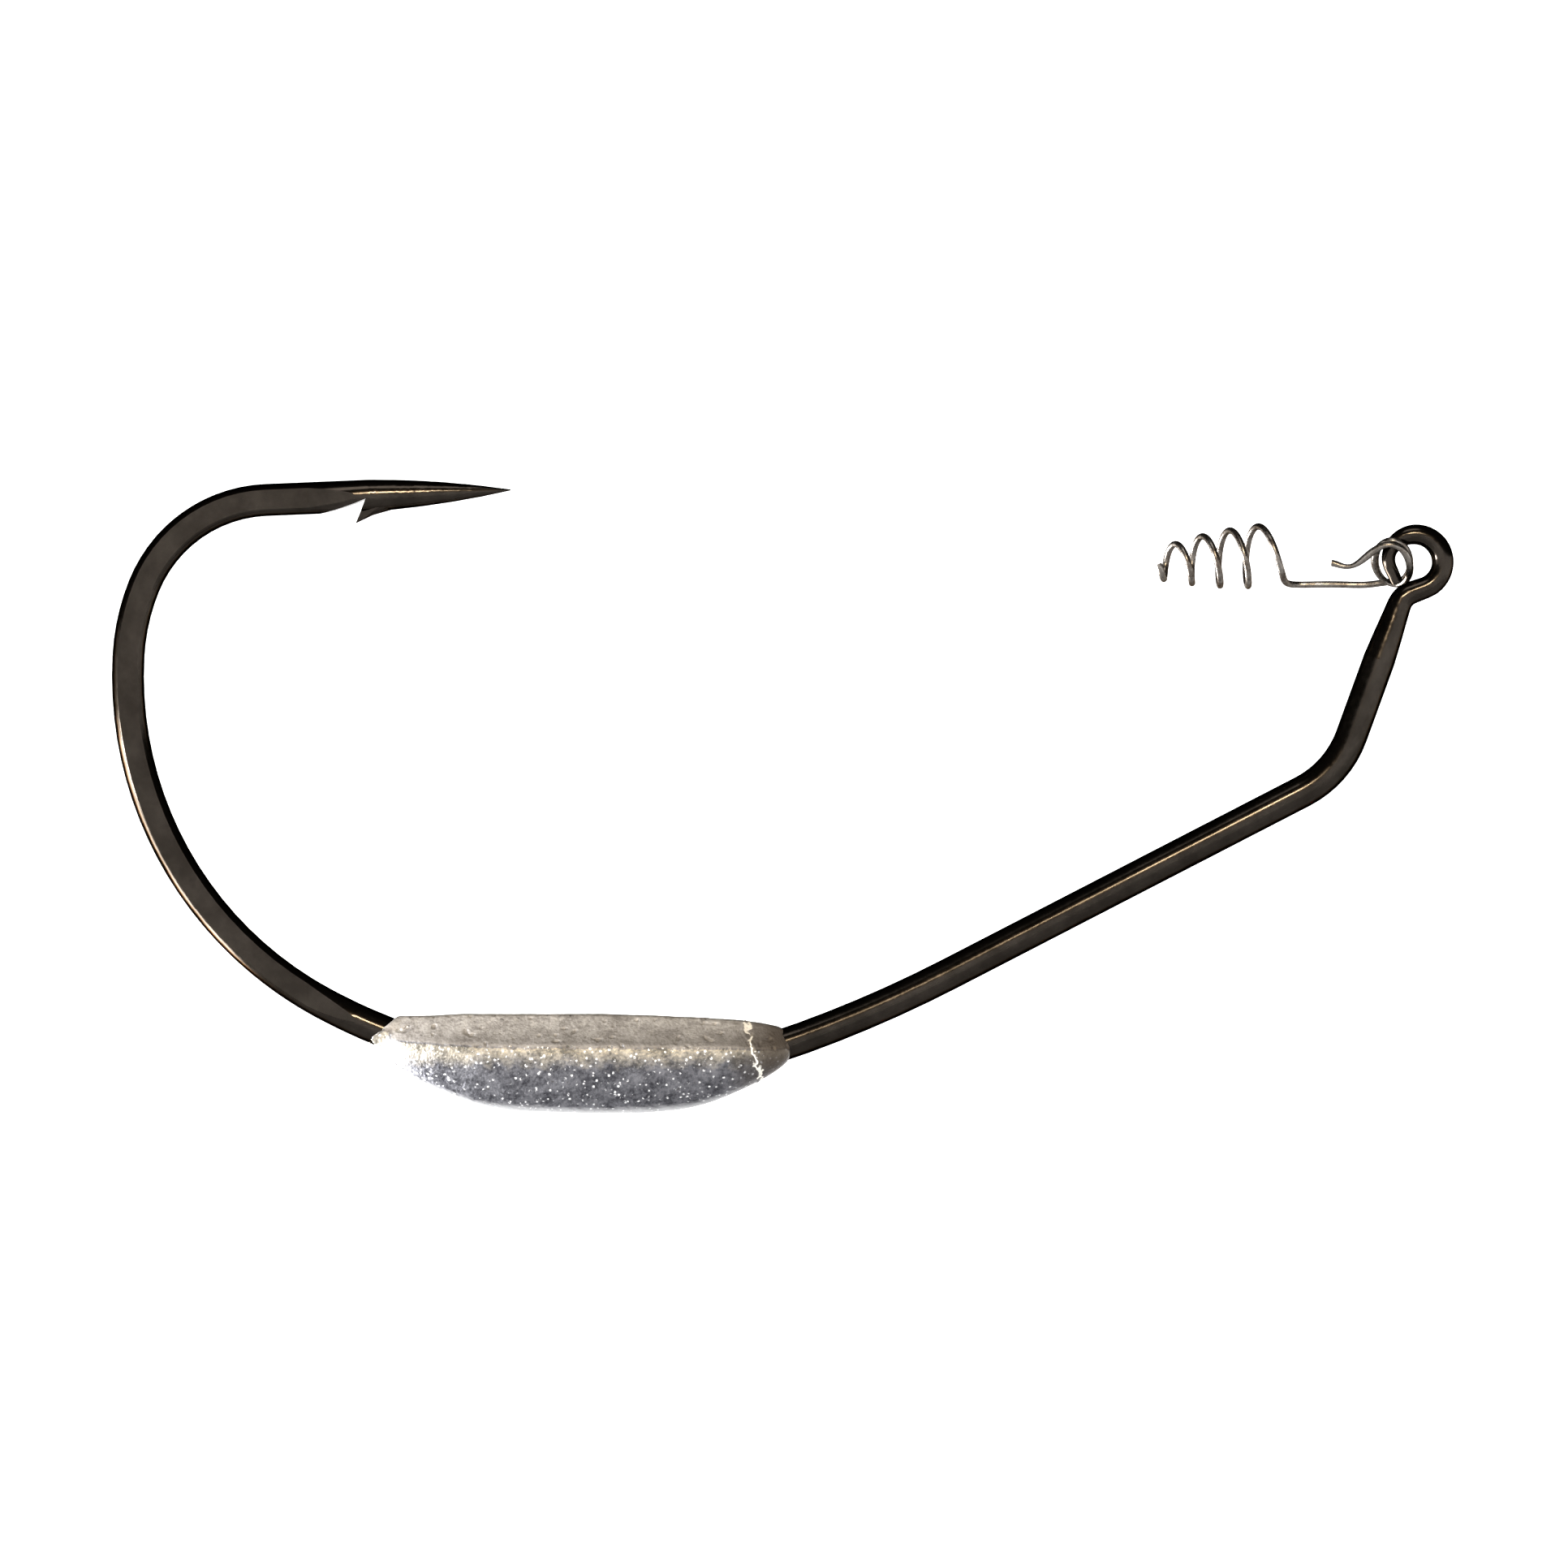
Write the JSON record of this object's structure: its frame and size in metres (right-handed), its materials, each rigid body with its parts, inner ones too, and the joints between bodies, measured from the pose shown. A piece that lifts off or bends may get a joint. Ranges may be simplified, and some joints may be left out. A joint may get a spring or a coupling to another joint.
{
  "type": "weighted fishing hook",
  "caption": "Belly-weighted wide-gap fishing hook with a barbed point, an offset neck and a hinged corkscrew bait keeper hanging in its eye.",
  "frame": {"origin": "centre of the hook's eye, where the line is tied", "axes": "+X from the bend to the eye, +Z to the point's side, +Y across the hook's flat plane"},
  "size_m": [0.0868, 0.0069, 0.041],
  "materials": {
    "plated_steel": "black nickel plating",
    "cast_lead": "raw cast lead, matte and pitted",
    "keeper_wire": "bright stainless wire"
  },
  "bodies": {
    "hook": {"hook": "plated_steel", "belly_weight": "cast_lead"},
    "keeper": {"screw_keeper": "keeper_wire"}
  },
  "joints": [
    {"name": "keeper_swing", "type": "hinge", "parent": "hook", "child": "keeper", "pos_m": [0.00014, 0, 0.00005], "axis": [0, 1, 0], "range_deg": [-5, 90]}
  ]
}
